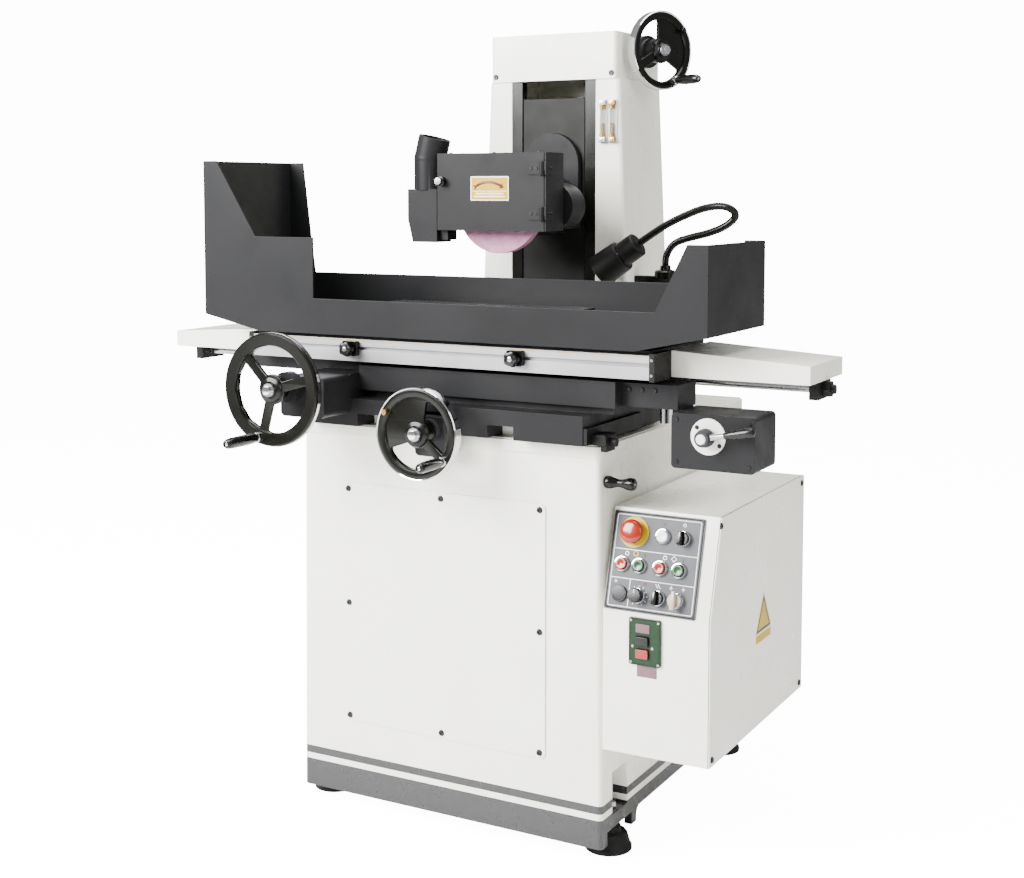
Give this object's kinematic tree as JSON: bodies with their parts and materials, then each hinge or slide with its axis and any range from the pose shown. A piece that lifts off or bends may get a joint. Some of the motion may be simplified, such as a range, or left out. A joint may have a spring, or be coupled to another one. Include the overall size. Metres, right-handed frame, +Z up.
{
  "type": "surface grinder",
  "caption": "Hydraulic surface grinder: white base and column, traversing table with splash tray and magnetic chuck, guarded wheelhead, handwheels and side control cabinet.",
  "frame": {"origin": "floor level under the centre of the machine's bounding box", "axes": "+X to the operator's right along the table, +Y from the operator to the column, +Z up"},
  "size_m": [1.49, 1.06, 1.675],
  "materials": {
    "white_paint": "gloss",
    "grey_paint": "semi-gloss",
    "black_paint": "gloss",
    "cast_iron": "machined",
    "bare_steel": "ground",
    "bar_aluminium": "brushed",
    "rubber": "matt",
    "gauge_glass": "clear",
    "abrasive": "rough",
    "panel_grey": "satin",
    "red_plastic": "gloss",
    "green_plastic": "gloss",
    "white_plastic": "gloss",
    "beige_plastic": "satin",
    "black_plastic": "gloss"
  },
  "bodies": {
    "base": {"base_casting": "white_paint", "front_cover": "white_paint", "cover_screws": "black_paint", "levelling_feet": "rubber", "column_casting": "white_paint", "column_cap": "white_paint", "column_ways": "black_paint", "oil_gauges": "gauge_glass", "elevation_bracket": "cast_iron", "crossfeed_bearing": "cast_iron", "cabinet": "white_paint", "cabinet_cover": "white_paint", "control_panel": "panel_grey", "lamp_stalk": "black_paint", "lamp_head": "black_paint"},
    "saddle": {"saddle_casting": "grey_paint", "handwheel_gearbox": "grey_paint", "stop_rail": "black_paint", "lever_box": "grey_paint", "table_cylinder": "bare_steel"},
    "table": {"table_casting": "grey_paint", "front_bar": "bar_aluminium", "splash_tray": "grey_paint", "magnetic_chuck": "bare_steel", "way_covers": "white_paint", "piston_rod": "bare_steel"},
    "wheelhead": {"wheelhead_casting": "grey_paint", "head_plate": "grey_paint", "spindle_motor": "cast_iron", "wheel_guard": "grey_paint", "dust_chute": "grey_paint"},
    "spindle": {"spindle": "bare_steel", "grinding_wheel": "abrasive"},
    "dog_left": {"dog_left": "black_paint"},
    "dog_right": {"dog_right": "black_paint"},
    "dog_knob_left": {"dog_knob_left": "black_plastic"},
    "dog_knob_right": {"dog_knob_right": "black_plastic"},
    "guard_door": {"guard_door": "grey_paint"},
    "guard_knob": {"guard_knob": "bare_steel"},
    "elevation_screw": {"elevation_screw": "bare_steel"},
    "table_handwheel": {"table_handwheel": "black_paint"},
    "table_grip": {"table_grip": "black_plastic"},
    "cross_handwheel": {"cross_handwheel": "black_paint"},
    "cross_grip": {"cross_grip": "black_plastic"},
    "elevation_handwheel": {"elevation_handwheel": "black_paint"},
    "elevation_grip": {"elevation_grip": "black_plastic"},
    "table_lever": {"table_lever": "black_plastic"},
    "side_handle": {"side_handle": "black_plastic"},
    "emergency_stop": {"emergency_stop": "red_plastic"},
    "lamp_button": {"lamp_button": "white_plastic"},
    "hydraulic_stop": {"hydraulic_stop": "red_plastic"},
    "hydraulic_start": {"hydraulic_start": "green_plastic"},
    "spindle_stop": {"spindle_stop": "red_plastic"},
    "spindle_start": {"spindle_start": "green_plastic"},
    "mode_selector": {"mode_selector": "black_plastic"},
    "speed_knob": {"speed_knob": "black_plastic"},
    "time_knob": {"time_knob": "black_plastic"},
    "beige_selector": {"beige_selector": "beige_plastic"},
    "on_button": {"on_button": "black_plastic"},
    "off_button": {"off_button": "red_plastic"}
  },
  "joints": [
    {"name": "cross_handwheel_turn", "type": "hinge", "parent": "base", "child": "cross_handwheel", "pos_m": [0.004, -0.3345, 0.818], "axis": [0, 1, 0], "range_deg": [-722, 8642]},
    {"name": "saddle_slide", "type": "slide", "parent": "base", "child": "saddle", "axis": [0, 1, 0], "range_m": [-0.01, 0.12]},
    {"name": "table_slide", "type": "slide", "parent": "saddle", "child": "table", "axis": [1, 0, 0], "range_m": [-0.23, 0.23]},
    {"name": "table_handwheel_turn", "type": "hinge", "parent": "saddle", "child": "table_handwheel", "pos_m": [-0.274, -0.4225, 0.896], "axis": [0, 1, 0], "range_deg": [-1100, 1100]},
    {"name": "elevation_handwheel_turn", "type": "hinge", "parent": "base", "child": "elevation_handwheel", "pos_m": [0.21659, 0.32877, 1.589], "axis": [0.9178, -0.3971, 0], "range_deg": [-12384, 15840]},
    {"name": "head_slide", "type": "slide", "parent": "base", "child": "wheelhead", "axis": [0, 0, 1], "range_m": [-0.0861, 0.1101]},
    {"name": "elevation_screw_turn", "type": "hinge", "parent": "base", "child": "elevation_screw", "pos_m": [0, 0.4225, 1.2], "axis": [0, 0, 1], "range_deg": [-15841, 12385]},
    {"name": "table_grip_turn", "type": "hinge", "parent": "table_handwheel", "child": "table_grip", "pos_m": [-0.3049, -0.4325, 0.80089], "axis": [0, 1, 0], "continuous": true},
    {"name": "cross_grip_turn", "type": "hinge", "parent": "cross_handwheel", "child": "cross_grip", "pos_m": [0.06468, -0.3425, 0.77059], "axis": [0, 1, 0], "continuous": true},
    {"name": "elevation_grip_turn", "type": "hinge", "parent": "elevation_handwheel", "child": "elevation_grip", "pos_m": [0.23128, 0.36273, 1.52491], "axis": [0.9178, -0.3971, 0], "continuous": true},
    {"name": "spindle_turn", "type": "hinge", "parent": "wheelhead", "child": "spindle", "pos_m": [0, -0.0015, 1.252], "axis": [0, 1, 0], "continuous": true},
    {"name": "guard_door_hinge", "type": "hinge", "parent": "wheelhead", "child": "guard_door", "pos_m": [0.126, -0.058, 1.282], "axis": [0, 0, 1], "range_deg": [0, 110]},
    {"name": "guard_knob_turn", "type": "hinge", "parent": "guard_door", "child": "guard_knob", "pos_m": [-0.112, -0.0575, 1.302], "axis": [0, 1, 0], "range_deg": [0, 90]},
    {"name": "table_lever_turn", "type": "hinge", "parent": "saddle", "child": "table_lever", "pos_m": [0.561, -0.2525, 0.843], "axis": [0, 1, 0], "range_deg": [-30, 30]},
    {"name": "side_handle_turn", "type": "hinge", "parent": "base", "child": "side_handle", "pos_m": [0.361, -0.2075, 0.735], "axis": [1, 0, 0], "range_deg": [-25, 25]},
    {"name": "dog_left_slide", "type": "slide", "parent": "table", "child": "dog_left", "axis": [1, 0, 0], "range_m": [-0.2, 0.14]},
    {"name": "dog_right_slide", "type": "slide", "parent": "table", "child": "dog_right", "axis": [1, 0, 0], "range_m": [-0.14, 0.2]},
    {"name": "dog_knob_left_turn", "type": "hinge", "parent": "dog_left", "child": "dog_knob_left", "pos_m": [-0.2, -0.2775, 0.966], "axis": [0, 1, 0], "range_deg": [-180, 180]},
    {"name": "dog_knob_right_turn", "type": "hinge", "parent": "dog_right", "child": "dog_knob_right", "pos_m": [0.178, -0.2775, 0.966], "axis": [0, 1, 0], "range_deg": [-180, 180]},
    {"name": "emergency_stop_push", "type": "slide", "parent": "base", "child": "emergency_stop", "axis": [0, 0.9598, -0.2807], "range_m": [0, 0.004], "stiffness_N_per_m": 600},
    {"name": "lamp_button_push", "type": "slide", "parent": "base", "child": "lamp_button", "axis": [0, 0.9598, -0.2807], "range_m": [0, 0.003], "stiffness_N_per_m": 300},
    {"name": "hydraulic_stop_push", "type": "slide", "parent": "base", "child": "hydraulic_stop", "axis": [0, 0.9598, -0.2807], "range_m": [0, 0.003], "stiffness_N_per_m": 300},
    {"name": "hydraulic_start_push", "type": "slide", "parent": "base", "child": "hydraulic_start", "axis": [0, 0.9598, -0.2807], "range_m": [0, 0.003], "stiffness_N_per_m": 300},
    {"name": "spindle_stop_push", "type": "slide", "parent": "base", "child": "spindle_stop", "axis": [0, 0.9598, -0.2807], "range_m": [0, 0.003], "stiffness_N_per_m": 300},
    {"name": "spindle_start_push", "type": "slide", "parent": "base", "child": "spindle_start", "axis": [0, 0.9598, -0.2807], "range_m": [0, 0.003], "stiffness_N_per_m": 300},
    {"name": "on_button_push", "type": "slide", "parent": "base", "child": "on_button", "axis": [0, 1, 0], "range_m": [0, 0.003], "stiffness_N_per_m": 300},
    {"name": "off_button_push", "type": "slide", "parent": "base", "child": "off_button", "axis": [0, 1, 0], "range_m": [0, 0.003], "stiffness_N_per_m": 300},
    {"name": "mode_selector_turn", "type": "hinge", "parent": "base", "child": "mode_selector", "pos_m": [0.495, -0.20084, 0.6419], "axis": [0, 0.9598, -0.2807], "range_deg": [-60, 60]},
    {"name": "speed_knob_turn", "type": "hinge", "parent": "base", "child": "speed_knob", "pos_m": [0.418, -0.23284, 0.53248], "axis": [0, 0.9598, -0.2807], "range_deg": [-60, 60]},
    {"name": "time_knob_turn", "type": "hinge", "parent": "base", "child": "time_knob", "pos_m": [0.458, -0.23284, 0.53248], "axis": [0, 0.9598, -0.2807], "range_deg": [-60, 60]},
    {"name": "beige_selector_turn", "type": "hinge", "parent": "base", "child": "beige_selector", "pos_m": [0.495, -0.23284, 0.53248], "axis": [0, 0.9598, -0.2807], "range_deg": [-60, 60]}
  ],
  "couplings": [
    {"joint": "cross_handwheel_turn", "follows": "saddle_slide", "rad_per_m": 1256.6},
    {"joint": "table_handwheel_turn", "follows": "table_slide", "rad_per_m": 83.333},
    {"joint": "head_slide", "follows": "elevation_handwheel_turn", "m_per_rad": 0.00039789},
    {"joint": "elevation_screw_turn", "follows": "elevation_handwheel_turn", "ratio": -1}
  ]
}
